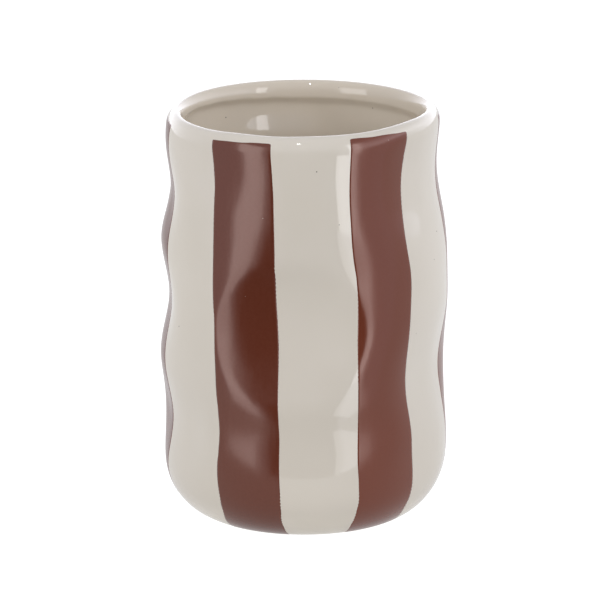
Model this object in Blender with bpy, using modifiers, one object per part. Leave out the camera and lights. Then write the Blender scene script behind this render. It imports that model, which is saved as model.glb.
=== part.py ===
"""A hand-pinched stoneware bathroom tumbler, in metres, +Z up, standing on Z = 0 round the Z axis.

The cup is one turned and fired piece, so its floor, wall, lip and foot are a single closed profile.
Soft thumb hollows are pressed into the wall, and the inside follows them. Six upright bands of brown
glaze lie in shallow pockets in the outside and finish level with the cream round them.

Azimuths are in degrees: 0 is the front (-Y), and they grow towards the right (+X).
"""

import math

import bmesh
import bpy

# The cup's outside
HEIGHT = 0.1158
BELLY_RADIUS = 0.0400
BELLY_HEIGHT = 0.058
NECK_RADIUS = 0.0382  # where the lip's outer rounding starts
HEEL_RADIUS = 0.0167  # the rounding between wall and foot

# Wall, floor and inside corner
WALL = 0.0042
FLOOR = 0.0062
CORNER_RADIUS = 0.0110

# Lip: a crest that leans inwards and a tall rounding on both sides, with a step under the inner one
LIP_OUTER_REACH = 0.0031
LIP_OUTER_DROP = 0.0056
LIP_INNER_REACH = 0.0020
LIP_INNER_DROP = 0.0045
LIP_THICK_DROP = 0.0049  # the lip stays thick down to here
LIP_THIN_DROP = 0.0065  # and has stepped back to the wall's own thickness here

# Foot: a flat ring with a shallow recess inside it
FOOT_RING_WIDTH = 0.0045
FOOT_RECESS = 0.0012
FOOT_RECESS_SLOPE = 0.0012

# Thumb hollows, pressed straight towards the axis. Each row: azimuth, height as a share of HEIGHT,
# half width and half height of the flat middle as shares of BELLY_RADIUS, how far the hollow fades
# out beyond it as a share of BELLY_RADIUS, and depth as a share of HOLLOW_DEPTH. A negative depth
# is a swelling.
HOLLOW_DEPTH = 0.0042
HOLLOW_SHARES = (
    (-1, 0.56, 0.10, 0.075, 0.70, 1.00),
    (-17, 0.465, 0.075, 0.075, 0.45, 0.31),
    (3, 0.415, 0.075, 0, 0.40, -0.12),
    (0, 0.275, 0.35, 0, 0.275, 0.14),
    (-88, 0.545, 0.15, 0, 0.425, 0.62),
    (-70, 0.26, 0.25, 0, 0.40, 0.52),
    (68, 0.39, 0.15, 0, 0.525, 0.67),
    (84, 0.17, 0.15, 0, 0.35, -0.17),
    (128, 0.64, 0, 0, 0.55, 0.43),
    (180, 0.52, 0.10, 0.05, 0.65, 0.52),
    (-135, 0.38, 0.10, 0, 0.55, 0.48),
    (-85, 0.81, 0.15, 0, 0.375, 0.55),
    (68, 0.84, 0.20, 0.075, 0.525, 0.57),
    (110, 0.845, 0.15, 0, 0.40, 0.29),
    (150, 0.83, 0.15, 0, 0.375, 0.38),
    (-150, 0.83, 0.50, 0, 0.325, 0.71),
)

# The rim isn't level: lowered towards the front left and raised towards the front right.
# Each row: azimuth, and lift as a share of RIM_LIFT
RIM_LIFT = 0.0008
RIM_LIFT_REACH = 0.050
RIM_LIFT_SHARES = ((-55, -1), (55, 1))

# Bands of brown glaze, painted by hand: azimuth of each band's middle, and its lean as a share of
# BAND_LEAN, which is how much further right its lower end lies than its upper end
BAND_WIDTH = 0.0190
BAND_LEAN = 0.0030
BAND_SHARES = ((-26, 1.1), (34.5, 0.6), (95, 0.9), (154, 1.0), (213, 1.2), (273, 0.9))
BAND_COAT = 0.0006
BAND_GAP = 0.0003
BAND_TOP_DROP = 0.0014
BAND_FOOT_RISE = 0.0004
CUT_OVERRUN = 0.0020  # how far a cutter stands out of the surface that it cuts

# Fineness
TURN_STEPS = 60
BAND_STEPS = 5
FLOOR_ROWS = 2
CORNER_ROWS = 4
INSIDE_ROWS = 12
LIP_ROWS = 3
OUTSIDE_ROWS = 18
HEEL_ROWS = 5
MERGE_DISTANCE = 1e-6
SHARP_ANGLE = math.radians(40)

# Finishes: linear colour, roughness
CREAM_GLAZE = ((0.62, 0.57, 0.50, 1.0), 0.14)
BROWN_GLAZE = ((0.155, 0.060, 0.046, 1.0), 0.38)

LIP_CREST_RADIUS = NECK_RADIUS - LIP_OUTER_REACH
FULL_TURN = 2 * math.pi
QUARTER = math.pi / 2


def wall_radius(height):
    """The outside of the wall before the hollows: a barrel curve, widest at the belly."""
    neck_height = HEIGHT - LIP_OUTER_DROP
    share = (height - BELLY_HEIGHT) / (neck_height - BELLY_HEIGHT)
    return BELLY_RADIUS - (BELLY_RADIUS - NECK_RADIUS) * share**2


def arc(centre, reach, drop, start, end, rows):
    """Points of a quarter-round: reach is its size across, drop its size up and down."""
    angles = [start + (end - start) * row / rows for row in range(rows + 1)]
    return [(centre[0] + reach * math.cos(a), centre[1] + drop * math.sin(a)) for a in angles]


def rows_between(start, end, rows):
    """Evenly spaced heights from start to end, both left out."""
    return [start + (end - start) * row / rows for row in range(1, rows)]


def outside_profile(top_drop, foot_rise):
    """The outside from near the lip's crest down to near the foot, as (radius, height) points.

    It starts top_drop below the crest and ends foot_rise above the table.
    """
    neck_height = HEIGHT - LIP_OUTER_DROP
    lip_angle = math.asin(1 - top_drop / LIP_OUTER_DROP)
    lip_centre = (LIP_CREST_RADIUS, neck_height)
    lip_reach = NECK_RADIUS - LIP_CREST_RADIUS
    points = arc(lip_centre, lip_reach, LIP_OUTER_DROP, lip_angle, 0, LIP_ROWS)
    for height in rows_between(neck_height, HEEL_RADIUS, OUTSIDE_ROWS):
        points.append((wall_radius(height), height))
    heel_angle = math.asin(1 - foot_rise / HEEL_RADIUS)
    heel_centre = (wall_radius(HEEL_RADIUS) - HEEL_RADIUS, HEEL_RADIUS)
    return points + arc(heel_centre, HEEL_RADIUS, HEEL_RADIUS, 0, -heel_angle, HEEL_ROWS)


def inside_profile():
    """The inside from the middle of the floor up to the lip's crest."""
    corner_height = FLOOR + CORNER_RADIUS
    corner_centre = (wall_radius(corner_height) - WALL - CORNER_RADIUS, corner_height)
    points = [(corner_centre[0] * row / FLOOR_ROWS, FLOOR) for row in range(FLOOR_ROWS)]
    points += arc(corner_centre, CORNER_RADIUS, CORNER_RADIUS, -QUARTER, 0, CORNER_ROWS)
    thin_height = HEIGHT - LIP_THIN_DROP
    for height in rows_between(corner_height, thin_height, INSIDE_ROWS):
        points.append((wall_radius(height) - WALL, height))
    points.append((wall_radius(thin_height) - WALL, thin_height))
    points.append((LIP_CREST_RADIUS - LIP_INNER_REACH, HEIGHT - LIP_THICK_DROP))
    crest_centre = (LIP_CREST_RADIUS, HEIGHT - LIP_INNER_DROP)
    points += arc(crest_centre, LIP_INNER_REACH, LIP_INNER_DROP, math.pi, QUARTER, LIP_ROWS)
    return points[:-1]


def foot_profile():
    """The underside from the foot ring's inner edge to the middle of the recess."""
    ring_radius = wall_radius(HEEL_RADIUS) - HEEL_RADIUS - FOOT_RING_WIDTH
    recess_radius = ring_radius - FOOT_RECESS_SLOPE
    return [(ring_radius, 0), (recess_radius, FOOT_RECESS), (0, FOOT_RECESS)]


def nearness(azimuth, height, middle, middle_height, half_width, half_height, reach):
    """1 inside a patch of the wall, fading smoothly to 0 at reach beyond its edge."""
    turn = math.remainder(azimuth - math.radians(middle), FULL_TURN)
    across = max(0, abs(turn) * BELLY_RADIUS - half_width)
    along = max(0, abs(height - middle_height) - half_height)
    share = max(0, 1 - math.hypot(across, along) / reach)
    return share * share * (3 - 2 * share)


def press(azimuth, height):
    """How far the hollows move one place of the wall, as (x, y)."""
    x = 0
    y = 0
    for middle, height_share, width_share, tall_share, reach_share, depth_share in HOLLOW_SHARES:
        half_width = width_share * BELLY_RADIUS
        half_height = tall_share * BELLY_RADIUS
        reach = reach_share * BELLY_RADIUS
        patch = (middle, height_share * HEIGHT, half_width, half_height, reach)
        depth = HOLLOW_DEPTH * depth_share * nearness(azimuth, height, *patch)
        x -= depth * math.sin(math.radians(middle))
        y += depth * math.cos(math.radians(middle))
    return x, y


def rim_lift(azimuth, height):
    """How far the uneven rim raises or lowers one place."""
    lift = 0
    for middle, lift_share in RIM_LIFT_SHARES:
        patch = (middle, HEIGHT, 0, 0, RIM_LIFT_REACH)
        lift += RIM_LIFT * lift_share * nearness(azimuth, height, *patch)
    return lift


def work_by_hand(mesh, turn, lean):
    """Turns a mesh to its azimuth, leans it, presses the hollows in and makes the rim uneven."""
    for vertex in mesh.vertices:
        x, y, height = vertex.co
        radius = math.hypot(x, y)
        azimuth = math.atan2(x, -y) + turn + lean * (1 / 2 - height / HEIGHT)
        in_x, in_y = press(azimuth, height)
        x = radius * math.sin(azimuth) + in_x
        y = -radius * math.cos(azimuth) + in_y
        vertex.co = (x, y, height + rim_lift(azimuth, height))


def turned(name, collection, profile, angle, steps):
    """A surface turned round Z by angle from a profile that starts at +X."""
    mesh = bpy.data.meshes.new(name)
    edges = [(i, i + 1) for i in range(len(profile) - 1)]
    mesh.from_pydata([(radius, 0, height) for radius, height in profile], edges, [])
    obj = bpy.data.objects.new(name, mesh)
    collection.objects.link(obj)
    screw = obj.modifiers.new("Turn", "SCREW")
    screw.angle = angle
    screw.steps = steps
    screw.render_steps = steps
    screw.use_merge_vertices = angle == FULL_TURN
    screw.merge_threshold = MERGE_DISTANCE
    evaluated = obj.evaluated_get(bpy.context.evaluated_depsgraph_get())
    surface = bpy.data.meshes.new_from_object(evaluated)
    surface.name = name
    obj.modifiers.clear()
    obj.data = surface
    bpy.data.meshes.remove(mesh)
    return obj


def merge_doubles(mesh):
    """Closes the poles on the axis."""
    work = bmesh.new()
    work.from_mesh(mesh)
    bmesh.ops.remove_doubles(work, verts=work.verts, dist=MERGE_DISTANCE)
    work.to_mesh(mesh)
    work.free()


def thicken(obj, thickness):
    """Gives an open surface a thickness inwards."""
    solidify = obj.modifiers.new("Thickness", "SOLIDIFY")
    solidify.thickness = thickness
    solidify.offset = -1
    solidify.use_even_offset = True


def finish(obj, material):
    obj.data.shade_smooth()
    obj.data.set_sharp_from_angle(angle=SHARP_ANGLE)
    obj.data.materials.append(material)


def glaze(name, colour, roughness):
    material = bpy.data.materials.new(name)
    material.use_nodes = True
    shader = material.node_tree.nodes["Principled BSDF"]
    shader.inputs["Base Color"].default_value = colour
    shader.inputs["Roughness"].default_value = roughness
    shader.inputs["Metallic"].default_value = 0
    material.diffuse_color = colour
    return material


def new_collection(name):
    collection = bpy.data.collections.new(name)
    bpy.context.scene.collection.children.link(collection)
    return collection


def band_surface(name, collection, number, margin, stand_out):
    """The outside surface under one band, widened by margin and moved out by stand_out."""
    profile = outside_profile(BAND_TOP_DROP - margin, BAND_FOOT_RISE - margin)
    width = (BAND_WIDTH + 2 * margin) / BELLY_RADIUS
    band = turned(name, collection, profile, width, BAND_STEPS)
    azimuth, lean_share = BAND_SHARES[number]
    # The profile starts at +X, a quarter turn past the front
    turn = math.radians(azimuth) - width / 2 - QUARTER
    work_by_hand(band.data, turn, BAND_LEAN * lean_share / BELLY_RADIUS)
    normals = [vertex.normal.copy() for vertex in band.data.vertices]
    for vertex, normal in zip(band.data.vertices, normals):
        vertex.co += normal * stand_out
    return band


def make_band(number, parts, material):
    band = band_surface(f"glaze_band_{number + 1}", parts, number, 0, 0)
    thicken(band, BAND_COAT)
    finish(band, material)


def make_pocket_cutter(number, cutters):
    cutter = band_surface(f"pocket_cutter_{number + 1}", cutters, number, BAND_GAP, CUT_OVERRUN)
    thicken(cutter, CUT_OVERRUN + BAND_COAT + BAND_GAP)
    cutter.hide_render = True
    cutter.display_type = "WIRE"
    return cutter


def make_body(parts, material):
    profile = inside_profile() + outside_profile(0, 0) + foot_profile()
    body = turned("tumbler_body", parts, profile, FULL_TURN, TURN_STEPS)
    merge_doubles(body.data)
    work_by_hand(body.data, 0, 0)
    finish(body, material)
    return body


def main():
    for obj in list(bpy.data.objects):
        bpy.data.objects.remove(obj)
    parts = new_collection("bathroom_tumbler")
    cutters = new_collection("cutters")
    cream = glaze("cream_glaze", *CREAM_GLAZE)
    brown = glaze("brown_glaze", *BROWN_GLAZE)
    body = make_body(parts, cream)
    for number in range(len(BAND_SHARES)):
        pocket = body.modifiers.new(f"Pocket {number + 1}", "BOOLEAN")
        pocket.operation = "DIFFERENCE"
        pocket.solver = "EXACT"
        pocket.object = make_pocket_cutter(number, cutters)
        make_band(number, parts, brown)


main()
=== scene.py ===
# %% [markdown]
# # A hand-pinched bathroom tumbler
#
# The real object is one fired stoneware cup with a glossy cream glaze inside and out, and six broad
# upright bands of a satin brown glaze painted over it. Nothing on it moves. What makes it worth
# modelling is the wall: a potter's thumb has pressed soft hollows into it, so it waves in and out
# and the light runs down it in crooked streaks.
#
# This lesson makes the cup the way a potter would. A round, even cup is raised ring by ring, the
# hollows are pushed in with proportional editing, the bands are laid on as thin coats of glaze, and
# only then come the finishes, the lights and the camera.
#
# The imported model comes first. It says where the cup stands and how tall it is, so every piece
# below is made in place and nothing has to be fitted afterwards.

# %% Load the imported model
import math

import bmesh
import bpy
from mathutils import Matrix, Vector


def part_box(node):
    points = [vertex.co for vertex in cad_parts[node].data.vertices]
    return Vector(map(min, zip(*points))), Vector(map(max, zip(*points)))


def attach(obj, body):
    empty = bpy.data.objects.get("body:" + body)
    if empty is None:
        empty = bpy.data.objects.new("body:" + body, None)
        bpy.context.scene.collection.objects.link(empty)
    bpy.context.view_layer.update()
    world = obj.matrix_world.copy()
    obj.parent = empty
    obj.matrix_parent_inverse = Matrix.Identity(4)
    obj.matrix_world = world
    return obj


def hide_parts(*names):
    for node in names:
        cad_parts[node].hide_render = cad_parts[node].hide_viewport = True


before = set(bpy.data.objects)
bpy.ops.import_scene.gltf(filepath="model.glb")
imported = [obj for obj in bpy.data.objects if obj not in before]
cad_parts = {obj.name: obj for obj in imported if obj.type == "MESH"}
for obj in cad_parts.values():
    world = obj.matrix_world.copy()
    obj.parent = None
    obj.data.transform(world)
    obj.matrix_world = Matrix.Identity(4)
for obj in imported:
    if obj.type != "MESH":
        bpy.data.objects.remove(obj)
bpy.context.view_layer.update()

cup_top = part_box("tumbler_body")[1].z
print("The packed cup reaches", round(1000 * cup_top, 1), "mm above the table")

# %% [markdown]
# Every operator acts on whatever is selected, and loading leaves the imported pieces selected. These
# helpers keep the selection honest: one opens a piece for editing with nothing else selected, one
# picks vertices by where they are, and one leaves edit mode again. A new primitive gets its name and
# has its place moved into its mesh, so that the object itself stays at the origin.

# %% Helpers for editing
MM = 0.001


def select_only(piece):
    bpy.ops.object.select_all(action="DESELECT")
    piece.select_set(True)
    bpy.context.view_layer.objects.active = piece


def open_for_editing(piece):
    select_only(piece)
    bpy.ops.object.mode_set(mode="EDIT")
    bpy.ops.mesh.select_mode(type="VERT")


def close_editing():
    bpy.ops.object.mode_set(mode="OBJECT")


def name_new_piece(name):
    """Names the primitive that was just added and moves its place into its mesh."""
    piece = bpy.context.object
    piece.name = piece.data.name = name
    bpy.ops.object.transform_apply(location=True, rotation=True, scale=True)
    return piece


def face_outwards():
    bpy.ops.mesh.select_all(action="SELECT")
    bpy.ops.mesh.normals_make_consistent(inside=False)


def pick(piece, wanted):
    """Selects the vertices that pass the test, and says how many there are."""
    shape = bmesh.from_edit_mesh(piece.data)
    for vertex in shape.verts:
        vertex.select = bool(wanted(vertex))
    shape.select_flush_mode()
    bmesh.update_edit_mesh(piece.data)
    return sum(vertex.select for vertex in shape.verts)


def azimuth_of(place):
    """Degrees round the cup: 0 at the front (-Y), growing towards the right (+X)."""
    return math.degrees(math.atan2(place.x, -place.y))


def turn_between(place, azimuth):
    """How far round a place lies from an azimuth, in degrees, the short way."""
    return math.remainder(azimuth_of(place) - azimuth, 360)


def apply_modifier(piece, kind, **settings):
    """Adds a modifier with the given settings and applies it at once."""
    select_only(piece)
    modifier = piece.modifiers.new(kind.title(), kind)
    for name, value in settings.items():
        setattr(modifier, name, value)
    bpy.ops.object.modifier_apply(modifier=modifier.name)


def subdivide_smoothly(piece, levels=1):
    apply_modifier(piece, "SUBSURF", levels=levels, render_levels=levels)


bpy.ops.object.select_all(action="DESELECT")
print("Nothing is selected, so the first primitive starts clean")

# %% [markdown]
# The sizes of the even cup, before any thumb touches it. The outside is a barrel, widest a little
# below the middle. The lip is a thick roll. Inside it ends in a crease, where the wall steps back by
# about a millimetre. Those few numbers give every ring of the cup.

# %% The even cup's sizes
RIM_LIFT = 0.8 * MM
HEIGHT = cup_top - RIM_LIFT
BELLY_RADIUS = 40.0 * MM
BELLY_HEIGHT = 58.0 * MM
NECK_RADIUS = 38.2 * MM
HEEL_RADIUS = 16.7 * MM
WALL = 4.2 * MM
FLOOR = 6.2 * MM
CORNER_RADIUS = 11.0 * MM
# The roll of the lip: how far each side reaches from its crest, and how far down
LIP_OUTER_REACH = 3.1 * MM
LIP_OUTER_DROP = 5.6 * MM
LIP_INNER_REACH = 2.0 * MM
LIP_INNER_DROP = 4.5 * MM
# The crease: where the roll ends, where the wall is thin again, and a ring that holds it there
LIP_THICK_DROP = 4.9 * MM
LIP_THIN_DROP = 6.5 * MM
CREASE_HOLD = 0.8 * MM
FOOT_RING_WIDTH = 4.5 * MM
FOOT_RECESS = 1.2 * MM

NECK_HEIGHT = HEIGHT - LIP_OUTER_DROP
CREST_RADIUS = NECK_RADIUS - LIP_OUTER_REACH


def wall_radius(height):
    """The barrel's outer radius at a height."""
    share = (height - BELLY_HEIGHT) / (NECK_HEIGHT - BELLY_HEIGHT)
    return BELLY_RADIUS - (BELLY_RADIUS - NECK_RADIUS) * share**2


FOOT_RADIUS = wall_radius(HEEL_RADIUS) - HEEL_RADIUS
print("Height", round(1000 * HEIGHT, 1), "mm, foot ring", round(2000 * FOOT_RADIUS, 1), "mm across")

# %% [markdown]
# A turned form can be spun from a drawn profile, or raised ring by ring from a circle. Raising rings
# is closer to how a pot grows and leaves no seam to merge, so this cup starts as a circle under the
# foot. Each ring is extruded upwards and scaled to its radius. The functions below say where the
# rings go, each as a radius and a height, with more of them where the form turns quickly.

# %% Where the rings go
HEEL_RINGS = 6
WALL_RINGS = 20
SHOULDER_RINGS = 5
CREST_RINGS = 5
CORNER_RINGS = 4
FLOOR_RING_SHARES = (2 / 3, 1 / 3)


def quarter_round(centre, reach, drop, start, end, rings):
    """Rings along a rounding about a centre, between two angles in degrees from level."""
    angles = [math.radians(start + (end - start) * ring / rings) for ring in range(1, rings + 1)]
    return [(centre[0] + reach * math.cos(a), centre[1] + drop * math.sin(a)) for a in angles]


def foot_rings():
    """The recess under the foot, and the flat ring that the cup stands on."""
    ring_inside = FOOT_RADIUS - FOOT_RING_WIDTH
    ring_middle = FOOT_RADIUS - FOOT_RING_WIDTH / 2
    recess = (ring_inside - FOOT_RECESS, FOOT_RECESS)
    return [recess, (ring_inside, 0), (ring_middle, 0), (FOOT_RADIUS, 0)]


def heel_rings(start=-90):
    """The rounded lower corner, from an angle up to the wall."""
    centre = (FOOT_RADIUS, HEEL_RADIUS)
    return quarter_round(centre, HEEL_RADIUS, HEEL_RADIUS, start, 0, HEEL_RINGS)


def wall_rings():
    rise = (NECK_HEIGHT - HEEL_RADIUS) / WALL_RINGS
    heights = [HEEL_RADIUS + rise * ring for ring in range(1, WALL_RINGS + 1)]
    return [(wall_radius(height), height) for height in heights]


def shoulder_rings(end=90):
    """The lip's outer rounding, from the wall up to an angle."""
    centre = (CREST_RADIUS, NECK_HEIGHT)
    return quarter_round(centre, LIP_OUTER_REACH, LIP_OUTER_DROP, 0, end, SHOULDER_RINGS)


def inside_rings():
    crest = (CREST_RADIUS, HEIGHT - LIP_INNER_DROP)
    rings = quarter_round(crest, LIP_INNER_REACH, LIP_INNER_DROP, 90, 180, CREST_RINGS)
    rings.append((CREST_RADIUS - LIP_INNER_REACH, HEIGHT - LIP_THICK_DROP))
    thin_height = HEIGHT - LIP_THIN_DROP
    rings.append((wall_radius(thin_height) - WALL, thin_height))
    wall_top = thin_height - CREASE_HOLD
    corner_height = FLOOR + CORNER_RADIUS
    for ring in range(WALL_RINGS + 1):
        height = wall_top + (corner_height - wall_top) * ring / WALL_RINGS
        rings.append((wall_radius(height) - WALL, height))
    floor_radius = wall_radius(corner_height) - WALL - CORNER_RADIUS
    corner = (floor_radius, corner_height)
    rings += quarter_round(corner, CORNER_RADIUS, CORNER_RADIUS, 0, -90, CORNER_RINGS)
    return rings + [(floor_radius * share, FLOOR) for share in FLOOR_RING_SHARES]


outside_rings = foot_rings() + heel_rings() + wall_rings() + shoulder_rings()
print(len(outside_rings), "rings outside,", len(inside_rings()), "rings inside")

# %% [markdown]
# Now the cup is raised. The extruded ring stays selected, so the next call carries straight on from
# it. At the two ends the last ring is drawn together to a point, which closes the shape.

# %% Raise the cup
COLUMNS = 64
START_RADIUS = 8 * MM
START_MARGIN = 0.1 * MM  # enough to find the first circle again despite rounding


def raise_ring(last, ring):
    """Extrudes the selected ring from its last (radius, height) to a new one."""
    radius, height = ring
    share = radius / last[0]
    bpy.ops.mesh.extrude_region_move(TRANSFORM_OT_translate={"value": (0, 0, height - last[1])})
    bpy.ops.transform.resize(value=(share, share, 1), center_override=(0, 0, height))
    return ring


def close_pole():
    """Draws the last ring together to a point."""
    bpy.ops.mesh.extrude_region_move()
    bpy.ops.mesh.merge(type="CENTER")


def raise_cup():
    start = (0, 0, FOOT_RECESS)
    bpy.ops.mesh.primitive_circle_add(vertices=COLUMNS, radius=START_RADIUS, location=start)
    cup = name_new_piece("cream_cup")
    open_for_editing(cup)
    bpy.ops.mesh.select_all(action="SELECT")
    last = (START_RADIUS, FOOT_RECESS)
    for ring in outside_rings + inside_rings():
        last = raise_ring(last, ring)
    close_pole()
    reach = START_RADIUS + START_MARGIN
    pick(cup, lambda vertex: vertex.co.z < FLOOR / 2 and vertex.co.xy.length < reach)
    close_pole()
    face_outwards()
    close_editing()
    return cup


cup = raise_cup()
subdivide_smoothly(cup)
print("Raised and smoothed once:", len(cup.data.polygons), "faces")

# %% [markdown]
# The hollows. A thumb pushes the wall towards the axis, most where it touches and less and less
# around it, and that is exactly what moving vertices with proportional editing does. Each row of the
# table is one push: which way it faces, how high, how wide the thumb's flat is, how far the push
# fades out, how deep it goes and how it fades. Most hollows fade softly. The large one in front is a
# round bowl with a firm edge, as the heel of a hand makes it, so its streaks of light are narrow, and
# a soft push above it makes its upper side gentler. The inner wall has the same vertices selected, so
# it moves too and the wall keeps its thickness, as clay does. A negative depth pushes outwards.
#
# The heights of the rows follow the two sides of the cup in the photograph. The hollows at the back
# aren't seen there, so they are guessed from the ones that are.

# %% Where the hollows are
# Two of the ways in which Blender lets a push fade out
SOFT = "SMOOTH"
BOWL = "INVERSE_SQUARE"
# Each row: azimuth, height, half width and half height of the flat, reach, depth, kind of fading.
# Lengths are in millimetres, and azimuths in degrees from the front towards the right.
HOLLOWS = (
    (-4.7, 60, 3, 1.5, 19.4, 2.85, BOWL),
    (3, 69, 4, 4, 21, 1.5, SOFT),
    (16, 51, 0, 0, 10, -0.5, SOFT),
    (-8, 103, 2, 0, 15, -0.3, SOFT),
    (-45, 107, 2, 0, 16, 0.9, SOFT),
    (42, 101, 2, 3, 14, 0.5, SOFT),
    (0, 30, 18, 0, 12, 0.6, SOFT),
    (-38, 26, 3, 0, 13, -0.4, SOFT),
    (34, 26, 3, 0, 13, -0.4, SOFT),
    (-88, 63, 6, 0, 17, 2.6, SOFT),
    (-70, 30, 10, 0, 16, 2.2, SOFT),
    (68, 45, 6, 0, 21, 2.8, SOFT),
    (84, 20, 6, 0, 14, -0.7, SOFT),
    (128, 74, 0, 0, 22, 1.8, SOFT),
    (180, 60, 4, 2, 26, 2.2, SOFT),
    (-135, 44, 4, 0, 22, 2.0, SOFT),
    (-85, 94, 6, 0, 15, 2.3, SOFT),
    (68, 97, 8, 3, 21, 2.4, SOFT),
    (110, 98, 6, 0, 16, 1.2, SOFT),
    (150, 96, 6, 0, 15, 1.6, SOFT),
    (-150, 96, 20, 0, 13, 3.0, SOFT),
    (133, 104, 8, 0, 9, 0.5, SOFT),
)
print("Hollows and bulges:", len(HOLLOWS))

# %% [markdown]
# One push. It selects a patch of the wall and moves it with proportional editing switched on. A thumb
# that has no flat still needs a vertex under it, so a patch is never smaller than one row and one
# column of the mesh.

# %% Press the hollows
INNER_LIMIT = BELLY_RADIUS / 2  # nothing nearer to the axis than this belongs to the wall
HALF_ROW = 1.3 * MM
HALF_COLUMN = 1.0 * MM


def push(piece, azimuth, height, half_width, half_height, reach, move, fading=SOFT):
    """Selects a patch of both walls and moves it, and the clay around it follows."""
    half_width = max(half_width, HALF_COLUMN)
    half_height = max(half_height, HALF_ROW)

    def in_patch(vertex):
        across = abs(math.radians(turn_between(vertex.co, azimuth))) * BELLY_RADIUS
        along = abs(vertex.co.z - height)
        on_wall = vertex.co.xy.length > INNER_LIMIT
        return on_wall and across <= half_width and along <= half_height

    picked = pick(piece, in_patch)
    bpy.ops.transform.translate(
        value=move,
        use_proportional_edit=True,
        proportional_edit_falloff=fading,
        proportional_size=reach,
    )
    return picked


def press_hollows(piece):
    counts = []
    for azimuth, height, half_width, half_height, reach, depth, fading in HOLLOWS:
        a = math.radians(azimuth)
        inwards = (-depth * MM * math.sin(a), depth * MM * math.cos(a), 0)
        sizes = (height * MM, half_width * MM, half_height * MM, reach * MM)
        counts.append(push(piece, azimuth, *sizes, inwards, fading))
    return counts


open_for_editing(cup)
print("Vertices under each thumb:", press_hollows(cup))
close_editing()

# %% [markdown]
# The rim isn't level. It dips towards the front left and rises towards the front right by less than
# a millimetre, which is enough for the eye to see that no machine made it. The same push does it,
# upwards and downwards this time, from the crest of the lip. The crease inside runs higher at the
# left rear, where the roll of the lip is narrower, so a few pushes lift it there.

# %% Make the rim uneven
# Each row: azimuth, share of the lift, reach in millimetres
RIM_LIFTS = ((-55, -1.0, 45), (55, 1.0, 45), (24, -0.45, 18), (-27, 0.4, 12))
CREST_DEPTH = 1.5 * MM
CREASE_HEIGHT = HEIGHT - LIP_THIN_DROP
CREASE_REACH = 5 * MM
# Each row: azimuth, half width and lift in millimetres
CREASE_LIFTS = ((-108, 8, 0.4), (-115, 14, 0.4), (-122, 20, 0.4), (-130, 26, 0.3))

open_for_editing(cup)
for azimuth, lift, reach in RIM_LIFTS:
    push(cup, azimuth, HEIGHT, HALF_COLUMN, CREST_DEPTH, reach * MM, (0, 0, lift * RIM_LIFT))
for azimuth, half_width, lift in CREASE_LIFTS:
    push(cup, azimuth, CREASE_HEIGHT, half_width * MM, HALF_ROW, CREASE_REACH, (0, 0, lift * MM))
close_editing()
subdivide_smoothly(cup)
bpy.ops.object.shade_smooth()
print("The cup:", len(cup.data.polygons), "faces")

# %% [markdown]
# The bands. On the real cup each one is a coat of brown glaze, brushed on by hand from the lip's
# outer rounding down to the foot, so its two borders wander a little. A coat could be painted in the
# cream's material, but a coat of its own has real thickness, a border that is as fine as the mesh,
# and a finish of its own.
#
# Each coat starts as an upright strip that runs through the same rings as the cup. Then its borders
# are nudged left and right at nine evenly spaced heights. The nudges fade into each other, because
# the reach of each is exactly the distance to the next.

# %% Where the bands run
# Azimuths of a band's left and right border, at nine even steps from the table to the lip's crest
BAND_BORDERS = (
    (
        (-44.0, -37.6, -36.0, -37.5, -38.2, -38.9, -38.9, -39.4, -42.8),
        (-7.2, -9.2, -9.5, -10.3, -10.2, -11.2, -11.5, -11.9, -13.5),
    ),
    (
        (23.0, 23.0, 21.9, 21.6, 21.4, 21.6, 19.0, 18.2, 19.3),
        (58.0, 51.6, 49.2, 46.9, 47.0, 48.1, 45.7, 46.2, 49.2),
    ),
    (
        (85.0, 84.0, 84.0, 82.0, 84.0, 82.5, 83.0, 82.0, 84.0),
        (111.0, 110.5, 109.0, 109.5, 108.0, 109.0, 108.5, 107.0, 108.0),
    ),
    (
        (144.0, 143.0, 143.5, 142.0, 142.5, 141.0, 141.5, 140.0, 139.5),
        (171.0, 170.0, 169.0, 169.5, 168.0, 167.0, 168.0, 167.0, 166.0),
    ),
    (
        (203.0, 202.0, 201.0, 201.5, 200.0, 199.5, 198.0, 198.5, 197.0),
        (229.0, 228.5, 229.0, 227.0, 227.5, 226.0, 225.0, 225.5, 224.0),
    ),
    (
        (257.0, 256.0, 257.0, 256.5, 255.0, 256.0, 257.0, 256.0, 255.0),
        (282.0, 282.0, 284.0, 286.0, 285.0, 289.0, 290.0, 284.0, 284.5),
    ),
)
# How far below the lip's crest a band's top left and top right corner lie, in millimetres
BAND_TOPS = ((2.5, 1.45), (0.65, 1.15), (1.4, 1.6), (1.8, 1.3), (1.2, 1.7), (2.4, 2.8))
BAND_FOOT_RISE = 0.4 * MM
BAND_COLUMNS = 8
STEP = HEIGHT / (len(BAND_BORDERS[0][0]) - 1)


def band_rings(top_drop):
    """The cup's outside rings, cut off at a drop below the crest and just above the table."""
    start = math.asin(BAND_FOOT_RISE / HEEL_RADIUS - 1)
    end = math.asin(1 - top_drop / LIP_OUTER_DROP)
    first = (FOOT_RADIUS + HEEL_RADIUS * math.cos(start), BAND_FOOT_RISE)
    return [first] + heel_rings(math.degrees(start)) + wall_rings() + shoulder_rings(math.degrees(end))


print("A band has", len(band_rings(BAND_TOPS[0][0] * MM)), "rings")

# %% [markdown]
# Raising a band. An outline that stands upright is drawn first: a single vertex is extruded from ring
# to ring along the band's right border. Spin then sweeps that outline round the cup's axis to the
# left border, and fills the faces between.

# %% Raise a band
def lone_vertex(name, place):
    """A piece that is a single vertex, open for editing."""
    bpy.ops.mesh.primitive_plane_add(size=MM, location=place)
    piece = name_new_piece(name)
    open_for_editing(piece)
    bpy.ops.mesh.select_all(action="SELECT")
    bpy.ops.mesh.merge(type="CENTER")
    return piece


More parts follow.
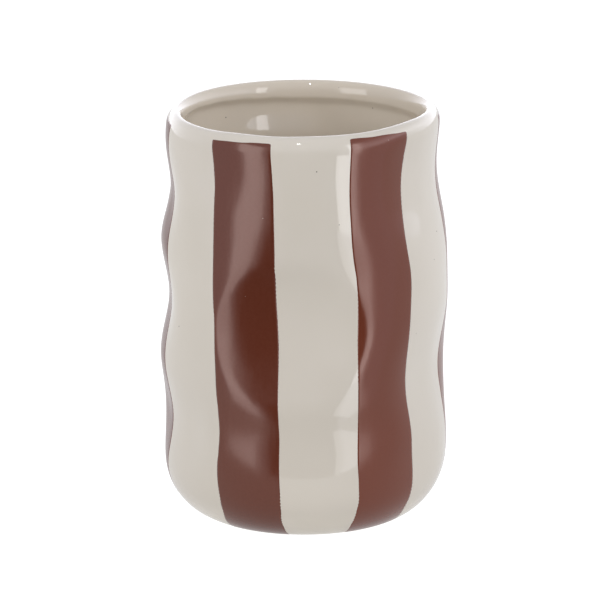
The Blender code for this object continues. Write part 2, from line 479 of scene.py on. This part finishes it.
def raise_band(name, left, right, top_drop):
    """An upright strip of the even cup's outside between two azimuths, still open for editing."""
    rings = band_rings(top_drop)
    radius, height = rings[0]
    a = math.radians(right)
    band = lone_vertex(name, (radius * math.sin(a), -radius * math.cos(a), height))
    last = rings[0]
    for ring in rings[1:]:
        last = raise_ring(last, ring)
    bpy.ops.mesh.select_all(action="SELECT")
    # Seen from above, spin turns clockwise, so it runs from the right border to the left one
    turn = math.radians(right - left)
    bpy.ops.mesh.spin(steps=BAND_COLUMNS, angle=turn, center=(0, 0, 0), axis=(0, 0, 1))
    face_outwards()
    return band


print("A band is raised in", BAND_COLUMNS, "columns, which subdivision makes finer")

# %% [markdown]
# Nudging a border. One vertex of the border is picked and turned about the cup's axis, and the
# vertices near it follow with a smooth falloff. A brush that is drawn down a wall by hand makes the
# same kind of line. The top edge gets its own small unevenness, since a loaded brush never starts in
# a straight line.

# %% Nudge the borders
BORDER_SEARCH = 4  # degrees within which a vertex belongs to a border
EDGE_SEARCH = 0.1 * MM  # below the highest vertex, within which one belongs to the top edge
# Small rises of the top edge's vertices, in millimetres
RAGGED_TOP = (0.05, -0.08, 0.10, 0.02, -0.12, 0.06, 0.12, -0.05, -0.10)


def turn_picked(degrees, reach):
    bpy.ops.transform.rotate(
        value=-math.radians(degrees),
        orient_axis="Z",
        center_override=(0, 0, 0),
        use_proportional_edit=True,
        proportional_edit_falloff="SMOOTH",
        proportional_size=reach,
    )


def nearest_on_border(piece, azimuth, height):
    """The index of the border vertex that lies nearest to a height, on the border at an azimuth."""
    shape = bmesh.from_edit_mesh(piece.data)
    edge = [vertex for vertex in shape.verts if vertex.is_boundary]
    side = [vertex for vertex in edge if abs(turn_between(vertex.co, azimuth)) < BORDER_SEARCH]
    return min(side, key=lambda vertex: abs(vertex.co.z - height)).index


def nudge_border(piece, base, azimuths):
    for number, azimuth in enumerate(azimuths):
        index = nearest_on_border(piece, base, number * STEP)
        pick(piece, lambda vertex: vertex.index == index)
        turn_picked(azimuth - base, STEP)


def shape_top(piece, left_drop, right_drop, start):
    """Tilts the level top edge between its two corners and makes it a little ragged."""
    shape = bmesh.from_edit_mesh(piece.data)
    top = max(vertex.co.z for vertex in shape.verts)
    edge = [vertex for vertex in shape.verts if vertex.co.z > top - EDGE_SEARCH]
    middle = azimuth_of(sum((vertex.co for vertex in edge), edge[0].co * 0))
    edge.sort(key=lambda vertex: turn_between(vertex.co, middle))
    indices = [vertex.index for vertex in edge]
    for place, index in enumerate(indices):
        pick(piece, lambda vertex: vertex.index == index)
        tilt = (left_drop - right_drop) * (place / (len(indices) - 1) - 0.5)
        rise = RAGGED_TOP[(start + place) % len(RAGGED_TOP)] * MM
        bpy.ops.transform.translate(value=(0, 0, tilt + rise))


def paint_strip(number):
    left, right = BAND_BORDERS[number]
    base_left = sum(left) / len(left)
    base_right = sum(right) / len(right)
    left_drop, right_drop = [drop * MM for drop in BAND_TOPS[number]]
    name = f"brown_band_{number + 1}"
    band = raise_band(name, base_left, base_right, (left_drop + right_drop) / 2)
    shape_top(band, left_drop, right_drop, number)
    nudge_border(band, base_left, left)
    nudge_border(band, base_right, right)
    close_editing()
    return band


bands = [paint_strip(number) for number in range(len(BAND_BORDERS))]
print("Strips:", [band.name for band in bands])

# %% [markdown]
# Laying the coats on the cup. A Shrinkwrap modifier drops every vertex of a strip onto the nearest
# place of the pressed wall and leaves it a few hundredths of a millimetre proud. Then the outermost
# vertices are tucked below the surface, so that a coat meets the cream in a soft rounded edge and not
# in a step. Solidify gives the coat a back that lies inside the wall, so each one is a closed piece.

# %% Lay the coats on the cup
COAT_PROUD = 0.03 * MM
COAT_TUCK = 0.04 * MM
COAT_DEPTH = 0.5 * MM
COAT_LEVELS = 2


def lay_coat(band):
    subdivide_smoothly(band, COAT_LEVELS)
    apply_modifier(band, "SHRINKWRAP", target=cup, wrap_mode="ABOVE_SURFACE", offset=COAT_PROUD)
    open_for_editing(band)
    pick(band, lambda vertex: vertex.is_boundary)
    bpy.ops.transform.shrink_fatten(value=-COAT_TUCK)
    close_editing()
    apply_modifier(band, "SOLIDIFY", thickness=COAT_DEPTH, offset=-1)
    bpy.ops.object.shade_smooth()


for band in bands:
    lay_coat(band)
print("Faces of one coat:", len(bands[0].data.polygons))

# %% [markdown]
# The finishes. Both glazes share three small effects, so each is built once as a node group. The
# first is a drift of soft clouds, because a glaze is never equally thick all over: wide clouds in the
# cream, fine ones in the brown. The second is the faint waviness of a glassy surface, which bends its
# highlights. The third scatters specks: a 3-D Voronoi pattern has one point per cell, and wherever the
# surface passes close enough to a point, it shows a speck.
#
# Nodes written out one by one take many lines, so a few helpers come first. Each adds one node, feeds
# it with plain values or with what other nodes give, and returns the output that comes next.

# %% Helpers for nodes
def add_node(tree, kind, **settings):
    node = tree.nodes.new(kind)
    for name, value in settings.items():
        setattr(node, name, value)
    return node


def feed(tree, value, socket):
    """Links a socket to the output that it gets, or sets it to a plain value."""
    if isinstance(value, bpy.types.NodeSocket):
        tree.links.new(value, socket)
    else:
        socket.default_value = value


def in_use(sockets):
    """The sockets that a node's settings don't hide."""
    return [socket for socket in sockets if socket.enabled]


def add_math(tree, operation, *values, kind="ShaderNodeMath"):
    """A math node on one value or two."""
    node = add_node(tree, kind, operation=operation)
    for socket, value in zip(node.inputs, values):
        feed(tree, value, socket)
    return in_use(node.outputs)[0]


def add_vector_math(tree, operation, *values):
    return add_math(tree, operation, *values, kind="ShaderNodeVectorMath")


def own_space(tree):
    """Places in the piece's own space, so that a pattern stays where it is on the clay."""
    return add_node(tree, "ShaderNodeTexCoord").outputs["Object"]


def add_noise(tree, place, scale=1.0, detail=2.0):
    """Noise at a place, with the scale in waves per metre."""
    noise = add_node(tree, "ShaderNodeTexNoise")
    feed(tree, place, noise.inputs["Vector"])
    feed(tree, scale, noise.inputs["Scale"])
    feed(tree, detail, noise.inputs["Detail"])
    return noise.outputs["Fac"]


print("Nodes can be added, fed and linked in one call")

# %% [markdown]
# Most masks are fades: a value, such as a height, is turned into a smooth step from 0 to 1. A mask then
# mixes two colours or two numbers. The colours below are written as a screen shows them, because that
# is how a photograph is measured, and turned into the linear values that shaders work with.

# %% Fades, mixes and colours
WHITE = (1.0, 1.0, 1.0, 1.0)


def add_fade(tree, value, start, end, low=0.0, high=1.0):
    """Turns a value that runs from start to end into one that runs smoothly from low to high."""
    node = add_node(tree, "ShaderNodeMapRange", interpolation_type="SMOOTHSTEP")
    feed(tree, value, node.inputs["Value"])
    for title, number in (("From Min", start), ("From Max", end), ("To Min", low), ("To Max", high)):
        feed(tree, number, node.inputs[title])
    return node.outputs["Result"]


def add_fade_out(tree, value, start, end):
    """1 where the value is at the start and 0 where it has reached the end."""
    return add_fade(tree, value, start, end, 1.0, 0.0)


def add_mix(tree, kind, mask, first, second):
    """first where the mask is 0 and second where it is 1."""
    node = add_node(tree, "ShaderNodeMix", data_type=kind)
    feed(tree, mask, node.inputs["Factor"])
    ends = [socket for socket in in_use(node.inputs) if socket.name in ("A", "B")]
    for socket, value in zip(ends, (first, second)):
        feed(tree, value, socket)
    return in_use(node.outputs)[0]


def mix_colours(tree, mask, first, second):
    return add_mix(tree, "RGBA", mask, first, second)


def mix_numbers(tree, mask, first, second):
    return add_mix(tree, "FLOAT", mask, first, second)


def colour(red, green, blue):
    """A screen's colour, 0 to 255, made linear by the curve that every sRGB screen follows."""
    parts = [value / 255 for value in (red, green, blue)]
    linear = [((p + 0.055) / 1.055) ** 2.4 if p > 0.04045 else p / 12.92 for p in parts]
    return (*linear, 1.0)


print("Mid grey is", round(colour(128, 128, 128)[0], 3), "to a shader")

# %% [markdown]
# The three effects. Pieces are measured in metres, so a pattern's scale is in waves, grains or points
# per metre: 200 waves per metre are waves of 5 mm.

# %% Effects that both glazes share
NOISE_SPAN = (0.3, 0.7)  # nearly all of a noise's values lie between these
SPECK_EDGE = (0.5, 1.0)  # shares of a speck's radius between which it fades out
WAVE_DETAIL = 1.0
GRAIN_DETAIL = 3.0


def new_group(name, titles, result):
    """A node group of numbers, with the sockets that come in and the one that goes out."""
    group = bpy.data.node_groups.new(name, "ShaderNodeTree")
    for title in titles:
        group.interface.new_socket(title, in_out="INPUT", socket_type="NodeSocketFloat")
    group.interface.new_socket(result, in_out="OUTPUT", socket_type="NodeSocketFloat")
    given = group.nodes.new("NodeGroupInput").outputs
    return group, given, group.nodes.new("NodeGroupOutput").inputs[result]


def make_drift_group():
    """Soft clouds, for where a glaze ran a little thicker or thinner."""
    group, given, cloud = new_group("glaze_drift", ("Waves per Metre",), "Cloud")
    noise = add_noise(group, own_space(group), given["Waves per Metre"])
    feed(group, add_fade(group, noise, *NOISE_SPAN), cloud)
    return group


def make_ripple_group():
    """The height of a glassy surface that set a little wavy, with a finer grain on top."""
    titles = ("Waves per Metre", "Grains per Metre", "Grain")
    group, given, height = new_group("glaze_ripple", titles, "Height")
    wave = add_noise(group, own_space(group), given["Waves per Metre"], WAVE_DETAIL)
    grain = add_noise(group, own_space(group), given["Grains per Metre"], GRAIN_DETAIL)
    grain = add_math(group, "MULTIPLY", grain, given["Grain"])
    feed(group, add_math(group, "ADD", wave, grain), height)
    return group


def make_speck_group():
    """Scattered specks: how many points lie along a metre, and a speck's radius in metres."""
    group, given, speck = new_group("glaze_specks", ("Points per Metre", "Radius"), "Speck")
    cells = add_node(group, "ShaderNodeTexVoronoi")
    feed(group, own_space(group), cells.inputs["Vector"])
    feed(group, given["Points per Metre"], cells.inputs["Scale"])
    reach = add_math(group, "MULTIPLY", given["Points per Metre"], given["Radius"])
    nearness = add_math(group, "DIVIDE", cells.outputs["Distance"], reach)
    feed(group, add_fade_out(group, nearness, *SPECK_EDGE), speck)
    return group


drift = make_drift_group()
ripple = make_ripple_group()
specks = make_speck_group()
print("Groups:", [group.name for group in bpy.data.node_groups])

# %% [markdown]
# Both glazes are also put together in the same way. Each takes the effects with its own numbers, and
# its ripples only tilt the light: they are a fiftieth of a millimetre high, too little to model.

# %% Helpers for the glazes
BUMP_STRENGTH = 0.25
BUMP_HEIGHT = 0.02 * MM


def new_material(name):
    """A material with its node tree and its shader."""
    material = bpy.data.materials.new(name)
    material.use_nodes = True
    return material, material.node_tree, material.node_tree.nodes["Principled BSDF"]


def use_group(tree, group, numbers):
    """Places a node group, sets its inputs by their titles, and gives what comes out."""
    node = add_node(tree, "ShaderNodeGroup", node_tree=group)
    for title, number in numbers.items():
        feed(tree, number, node.inputs[title])
    return node.outputs[0]


def add_bump(tree, height, shader):
    """Tilts the light on a surface as if its height really varied."""
    bump = add_node(tree, "ShaderNodeBump")
    feed(tree, BUMP_STRENGTH, bump.inputs["Strength"])
    feed(tree, BUMP_HEIGHT, bump.inputs["Distance"])
    feed(tree, height, bump.inputs["Height"])
    feed(tree, bump.outputs["Normal"], shader.inputs["Normal"])


def along_axis(tree, axis):
    """How far a place lies along one axis of the piece."""
    split = add_node(tree, "ShaderNodeSeparateXYZ")
    feed(tree, own_space(tree), split.inputs["Vector"])
    return split.outputs[axis]


print("Ripples are", round(1000 * BUMP_HEIGHT, 2), "mm high")

# %% [markdown]
# The cream glaze is clear glass over a pale clay, so it is a smooth dielectric with a sharp
# highlight. It drifts between two creams, and it is a little warmer inside. On the lower part of the
# wall it is darker, up to just above the foot: that darkening is painted shade. It has a few dark
# iron specks. Under the foot the glaze is wiped off before firing, or the cup would stick to the kiln
# shelf, and there the bare clay shows, matt and sandy.
#
# Three masks say where: one for the inside, by which way the surface faces, one for the painted shade
# and one for the bare clay, both by height. The bare clay's edge wanders a little, as a sponge
# leaves it.

# %% Where the cream differs
FACING_AXIS = (-0.7, 0.0)  # from facing the axis, at -1, to facing sideways, at 0
# Heights at which the painted shade begins and is full, coming down the wall and coming up from the
# foot
SHADE_TOP = (80 * MM, 18 * MM)
SHADE_FOOT = (5 * MM, 11 * MM)
CLAY_WAVES = 150.0
CLAY_WANDER = 0.5 * MM
CLAY_EDGE = 0.25 * MM


def add_inside_mask(tree):
    """1 where the surface faces the cup's axis and 0 where it faces away from it."""
    level = add_vector_math(tree, "MULTIPLY", own_space(tree), (1, 1, 0))
    outwards = add_vector_math(tree, "NORMALIZE", level)
    normal = add_node(tree, "ShaderNodeTexCoord").outputs["Normal"]
    facing = add_vector_math(tree, "DOT_PRODUCT", outwards, normal)
    return add_fade_out(tree, facing, *FACING_AXIS)


def add_painted_shade_mask(tree, height):
    """1 on the lower wall, where the cream is darkened by painted shade."""
    from_above = add_fade(tree, height, *SHADE_TOP)
    from_foot = add_fade(tree, height, *SHADE_FOOT)
    return add_math(tree, "MULTIPLY", from_above, from_foot)


def add_bare_mask(tree, height):
    """1 under the foot, where the glaze is wiped off."""
    wander = add_math(tree, "MULTIPLY", add_noise(tree, own_space(tree), CLAY_WAVES), CLAY_WANDER)
    return add_fade_out(tree, add_math(tree, "SUBTRACT", height, wander), 0.0, CLAY_EDGE)


# The height below which the lower wall gets painted shade
print("Painted shade starts below", round(1000 * SHADE_TOP[0]), "mm")

# %% The cream glaze
CREAM = colour(228, 220, 206)
THICK_CREAM = colour(225, 217, 202)
SHADED_LOW_CREAM = colour(217, 209, 195)
INSIDE_CREAM = colour(227, 216, 198)
IRON = colour(92, 74, 62)
BARE_CLAY = colour(205, 190, 168)
GLAZE_SHINE = 0.04
CLAY_ROUGHNESS = 0.85
CREAM_DRIFT = {"Waves per Metre": 45.0}
IRON_SPECKS = {"Points per Metre": 110.0, "Radius": 0.22 * MM}
CREAM_RIPPLE = {"Waves per Metre": 160.0, "Grains per Metre": 1200.0, "Grain": 0.03}


def make_cream():
    material, tree, shader = new_material("cream_glaze")
    height = along_axis(tree, "Z")
    bare = add_bare_mask(tree, height)
    tone = mix_colours(tree, use_group(tree, drift, CREAM_DRIFT), CREAM, THICK_CREAM)
    # Painted shade: the cream is darker on the lower wall
    tone = mix_colours(tree, add_painted_shade_mask(tree, height), tone, SHADED_LOW_CREAM)
    tone = mix_colours(tree, add_inside_mask(tree), tone, INSIDE_CREAM)
    tone = mix_colours(tree, use_group(tree, specks, IRON_SPECKS), tone, IRON)
    tone = mix_colours(tree, bare, tone, BARE_CLAY)
    feed(tree, tone, shader.inputs["Base Color"])
    roughness = add_fade(tree, bare, 0.0, 1.0, GLAZE_SHINE, CLAY_ROUGHNESS)
    feed(tree, roughness, shader.inputs["Roughness"])
    add_bump(tree, use_group(tree, ripple, CREAM_RIPPLE), shader)
    return material


cream = make_cream()
cup.data.materials.append(cream)
print("Cream glaze:", len(cream.node_tree.nodes), "nodes")

# %% [markdown]
# The brown glaze is full of iron and cooled slowly, so it has a satin surface with wide, soft
# highlights, which the iron tints a little red. The brush left faint upright streaks in it, so its
# roughness is noise that is drawn out along the height. The coat is finely mottled, it is thinner and
# redder on the right of the cup than on the left, and a few pale pinholes show where bubbles burst.

# %% The brown glaze
THICK_BROWN = colour(97, 48, 33)
THIN_BROWN = colour(111, 55, 38)
THINNING = (-10 * MM, 20 * MM)  # from left to right, where the coat starts to thin and where it is thin
MOTTLE = colour(116, 66, 51)
MOTTLE_CLOUDS = {"Waves per Metre": 1400.0}
MOTTLE_SHARE = 0.12
BURST_BUBBLE = colour(190, 170, 155)
PINHOLES = {"Points per Metre": 130.0, "Radius": 0.14 * MM}
SATIN_LOW = 0.15
SATIN_HIGH = 0.21
SATIN_GLOSS = 0.62
SATIN_TINT = (1.0, 0.8, 0.74, 1.0)
STREAK_WAVES = (1800.0, 1800.0, 90.0)  # many across, few along the height
STREAK_SHARE = 0.5
BROWN_RIPPLE = {"Waves per Metre": 250.0, "Grains per Metre": 2600.0, "Grain": 0.12}


def add_brown_tone(tree):
    """Two browns across the cup, mottled, with pinholes."""
    thinness = add_fade(tree, along_axis(tree, "X"), *THINNING)
    tone = mix_colours(tree, thinness, THICK_BROWN, THIN_BROWN)
    clouds = use_group(tree, drift, MOTTLE_CLOUDS)
    tone = mix_colours(tree, add_math(tree, "MULTIPLY", clouds, MOTTLE_SHARE), tone, MOTTLE)
    return mix_colours(tree, use_group(tree, specks, PINHOLES), tone, BURST_BUBBLE)


def make_brown():
    material, tree, shader = new_material("brown_glaze")
    feed(tree, add_brown_tone(tree), shader.inputs["Base Color"])
    feed(tree, SATIN_GLOSS, shader.inputs["Specular IOR Level"])
    feed(tree, SATIN_TINT, shader.inputs["Specular Tint"])
    streaks = add_noise(tree, add_vector_math(tree, "MULTIPLY", own_space(tree), STREAK_WAVES))
    roughness = add_fade(tree, streaks, *NOISE_SPAN, SATIN_LOW, SATIN_HIGH)
    feed(tree, roughness, shader.inputs["Roughness"])
    ridges = add_math(tree, "MULTIPLY", streaks, STREAK_SHARE)
    add_bump(tree, add_math(tree, "ADD", use_group(tree, ripple, BROWN_RIPPLE), ridges), shader)
    return material


brown = make_brown()
for band in bands:
    band.data.materials.append(brown)
print("Brown glaze:", len(brown.node_tree.nodes), "nodes")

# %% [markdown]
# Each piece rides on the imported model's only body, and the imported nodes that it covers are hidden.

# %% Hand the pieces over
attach(cup, "root")
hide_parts("tumbler_body")
for number, band in enumerate(bands):
    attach(band, "root")
    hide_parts(f"glaze_band_{number + 1}")
print("Pieces:", 1 + len(bands))

# %% [markdown]
# The table is a plain pale plane whose front edge lies just in front of the cup, as the dark band in
# the cup's reflections shows. It is an acrylic one that is lit from within, as tables for product
# photographs are. So it brightens the cup's heel a little and the cup's shadow on it stays pale. It
# glows by three amounts: least as a light on the cup, more in the cup's reflections, and most to the
# camera, which makes it as white as the background.

# %% The table
TABLE_SIZE = 3.0
TABLE_FRONT = 100 * MM
TABLE_DROP = 0.1 * MM  # keeps the table's face clear of the foot's
TABLE_COLOUR = colour(150, 150, 150)
TABLE_GLOW = 0.4
TABLE_GLOW_MIRRORED = 0.66
TABLE_GLOW_SEEN = 1.0


def make_table_white():
    material, tree, shader = new_material("table_white")
    feed(tree, TABLE_COLOUR, shader.inputs["Base Color"])
    feed(tree, 1.0, shader.inputs["Roughness"])
    feed(tree, 0.0, shader.inputs["Specular IOR Level"])
    feed(tree, WHITE, shader.inputs["Emission Color"])
    ray = add_node(tree, "ShaderNodeLightPath").outputs
    glow = mix_numbers(tree, ray["Is Glossy Ray"], TABLE_GLOW, TABLE_GLOW_MIRRORED)
    glow = mix_numbers(tree, ray["Is Camera Ray"], glow, TABLE_GLOW_SEEN)
    feed(tree, glow, shader.inputs["Emission Strength"])
    return material


def add_table():
    back = TABLE_SIZE / 2 - TABLE_FRONT
    bpy.ops.mesh.primitive_plane_add(size=TABLE_SIZE, location=(0, back, -TABLE_DROP))
    table = name_new_piece("table")
    table.data.materials.append(make_table_white())


add_table()
print("The table's front edge is", round(1000 * TABLE_FRONT), "mm in front of the cup's axis")

# %% [markdown]
# The lights. A tall soft box stands at each side of the camera. They make the two crooked streaks
# down the front of the cup, and they reach below the table's edge, because a wall seen from above
# reflects what lies below the horizon. So each one is built of three lamps, one above the other. The
# lowest only shows in reflections, as the table keeps its light off the cup. A small bare lamp
# overhead makes the pin-points on the lip. A lamp is given by how bright it looks, and its power
# follows from its size.

# %% The soft boxes
CUP_MIDDLE = 60 * MM
BOX_DISTANCE = 1.2
TABLE_SHADE = -20  # the table keeps the light of a lamp that starts lower than this off the cup
DAYLIGHT = (1.0, 0.99, 0.99)


def add_lamp(name, azimuth, low, high, width, brightness):
    """A lamp that spans the elevations low to high and width degrees, seen from the cup."""
    elevation = math.radians((low + high) / 2)
    turn = math.radians(azimuth)
    light = bpy.data.lights.new(name, "AREA")
    light.shape = "RECTANGLE"
    light.size = 2 * BOX_DISTANCE * math.tan(math.radians(width / 2))
    light.size_y = 2 * BOX_DISTANCE * math.tan(math.radians((high - low) / 2))
    light.energy = brightness * math.pi * light.size * light.size_y
    light.color = DAYLIGHT
    lamp = bpy.data.objects.new(name, light)
    bpy.context.scene.collection.objects.link(lamp)
    out = BOX_DISTANCE * math.cos(elevation)
    up = CUP_MIDDLE + BOX_DISTANCE * math.sin(elevation)
    lamp.location = (out * math.sin(turn), -out * math.cos(turn), up)
    lamp.rotation_euler = (math.pi / 2 - elevation, 0, turn)
    lamp.visible_camera = False
    lamp.visible_diffuse = low > TABLE_SHADE
    return light.energy


# Each row: name, azimuth, lowest and highest elevation, width, brightness
LAMPS = (
    ("left_box", -49.5, 0, 27, 27, 3.0),
    ("left_box_middle", -46, -13, 0, 23, 2.75),
    ("left_box_foot", -47, -26, -13, 24, 2.1),
    ("right_box", 42.5, 0, 31, 11, 4.0),
    ("right_box_middle", 36, -13, 0, 18, 3.2),
    ("right_box_foot", 37, -26, -13, 24, 1.6),
    ("bare_lamp", -7, 45, 52, 1.8, 30.0),
)
print("Watts:", [round(add_lamp(*lamp), 2) for lamp in LAMPS])

# %% [markdown]
# The room. For the camera the world is plain white. Reflections see a pale room with a bright
# backdrop, a large window on the right and a dark gap in front of the table where the camera stands.
# What the room adds as soft light from all sides is weaker than what it shows in reflections, since
# most of the light comes from the soft boxes.

# %% What the room is like
ROOM_LEFT = 0.93
ROOM_RIGHT = 1.08
ROOM_BACK = 2.6
ROOM_TOP = 0.95
WINDOW = 1.7
ROOM_LIGHT_BELOW = 0.5
ROOM_LIGHT_ABOVE = 0.6
ROOM_TINT = (0.95, 0.965, 1.05, 1.0)
# Where each part of the room fades in, as parts of a direction whose length is one
LEFT_TO_RIGHT = (-1.0, 1.0)
BACKDROP = (0.0, 1.0)
CEILING = (0.15, 0.75)
WINDOW_SIDE = (0.5, 0.85)
LIGHT_RISE = (-0.2, 0.4)
# The same in degrees: elevations, and the turn away from the camera
WINDOW_SILL = (2, 12)
GAP_TOP = (0, 25)
GAP_FLOOR = (-60, -45)
GAP_HALF_WIDTH = (26, 32)


def sines(angles):
    """Elevations in degrees, as how far up a direction points."""
    return [math.sin(math.radians(angle)) for angle in angles]


def add_window(tree, across, up):
    """How much light the window adds to a direction."""
    window = add_math(tree, "MULTIPLY", add_fade(tree, across, *WINDOW_SIDE), WINDOW)
    return add_math(tree, "MULTIPLY", window, add_fade(tree, up, *sines(WINDOW_SILL)))


def add_gap(tree, across, along, up):
    """1 in the dark gap in front of the table."""
    towards_camera = add_math(tree, "MULTIPLY", along, -1.0)
    turn = add_math(tree, "ABSOLUTE", add_math(tree, "ARCTAN2", across, towards_camera))
    gap = add_fade_out(tree, turn, *[math.radians(angle) for angle in GAP_HALF_WIDTH])
    gap = add_math(tree, "MULTIPLY", gap, add_fade_out(tree, up, *sines(GAP_TOP)))
    return add_math(tree, "MULTIPLY", gap, add_fade(tree, up, *sines(GAP_FLOOR)))


print("The gap is", 2 * GAP_HALF_WIDTH[1], "degrees wide")

# %% [markdown]
# The world puts these parts together by the direction in which a ray leaves the scene. It asks each ray
# what it is for: the camera's own rays get white, reflections get the room as it is, and soft light
# from all sides gets a share of it.

# %% The room
def add_room_level(tree):
    """How bright the room is in a direction, and how far up that direction points."""
    direction = add_node(tree, "ShaderNodeSeparateXYZ")
    feed(tree, add_node(tree, "ShaderNodeTexCoord").outputs["Generated"], direction.inputs["Vector"])
    across, along, up = direction.outputs
    level = add_fade(tree, across, *LEFT_TO_RIGHT, ROOM_LEFT, ROOM_RIGHT)
    level = add_math(tree, "ADD", level, add_window(tree, across, up))
    level = mix_numbers(tree, add_fade(tree, along, *BACKDROP), level, ROOM_BACK)
    level = mix_numbers(tree, add_fade(tree, up, *CEILING), level, ROOM_TOP)
    return mix_numbers(tree, add_gap(tree, across, along, up), level, 0.0), up


def make_room():
    world = bpy.data.worlds.new("studio")
    world.use_nodes = True
    tree = world.node_tree
    level, up = add_room_level(tree)
    share = add_fade(tree, up, *LIGHT_RISE, ROOM_LIGHT_BELOW, ROOM_LIGHT_ABOVE)
    soft = add_math(tree, "MULTIPLY", level, share)
    ray = add_node(tree, "ShaderNodeLightPath").outputs
    mirrored = add_math(tree, "MAXIMUM", ray["Is Glossy Ray"], ray["Is Transmission Ray"])
    strength = mix_numbers(tree, mirrored, soft, level)
    strength = mix_numbers(tree, ray["Is Camera Ray"], strength, 1.0)
    background = tree.nodes["Background"].inputs
    feed(tree, strength, background["Strength"])
    feed(tree, mix_colours(tree, ray["Is Camera Ray"], ROOM_TINT, WHITE), background["Color"])
    bpy.context.scene.world = world


make_room()
bpy.context.scene.view_settings.view_transform = "Standard"
print("The room is lit")

# %% [markdown]
# The camera stands where the photographer's did: about fifteen degrees above the table and far
# enough away that the cup's sides hardly converge. The cup's axis lies a little right of the
# picture's middle, which the lens shift takes care of.

# %% The camera
CAMERA_ELEVATION = 14.8
CAMERA_DISTANCE = 1.70
AIM_HEIGHT = 59.7 * MM
PICTURE_PIXELS = 605
PIXELS_PER_METRE = 3600
AXIS_PIXEL = (303.9, 304.0)  # where the axis at the aimed height lies in the picture, from its top left
SENSOR = 36.0

camera = bpy.data.cameras.new("camera")
camera.sensor_width = SENSOR
camera.lens = PIXELS_PER_METRE * CAMERA_DISTANCE / PICTURE_PIXELS * SENSOR
camera.shift_x = (PICTURE_PIXELS / 2 - AXIS_PIXEL[0]) / PICTURE_PIXELS
camera.shift_y = (AXIS_PIXEL[1] - PICTURE_PIXELS / 2) / PICTURE_PIXELS
viewer = bpy.data.objects.new("camera", camera)
bpy.context.scene.collection.objects.link(viewer)
tilt = math.radians(CAMERA_ELEVATION)
back = CAMERA_DISTANCE * math.cos(tilt)
viewer.location = (0, -back, AIM_HEIGHT + CAMERA_DISTANCE * math.sin(tilt))
viewer.rotation_euler = (math.pi / 2 - tilt, 0, 0)
bpy.context.scene.camera = viewer
print("Lens:", round(camera.lens), "mm")
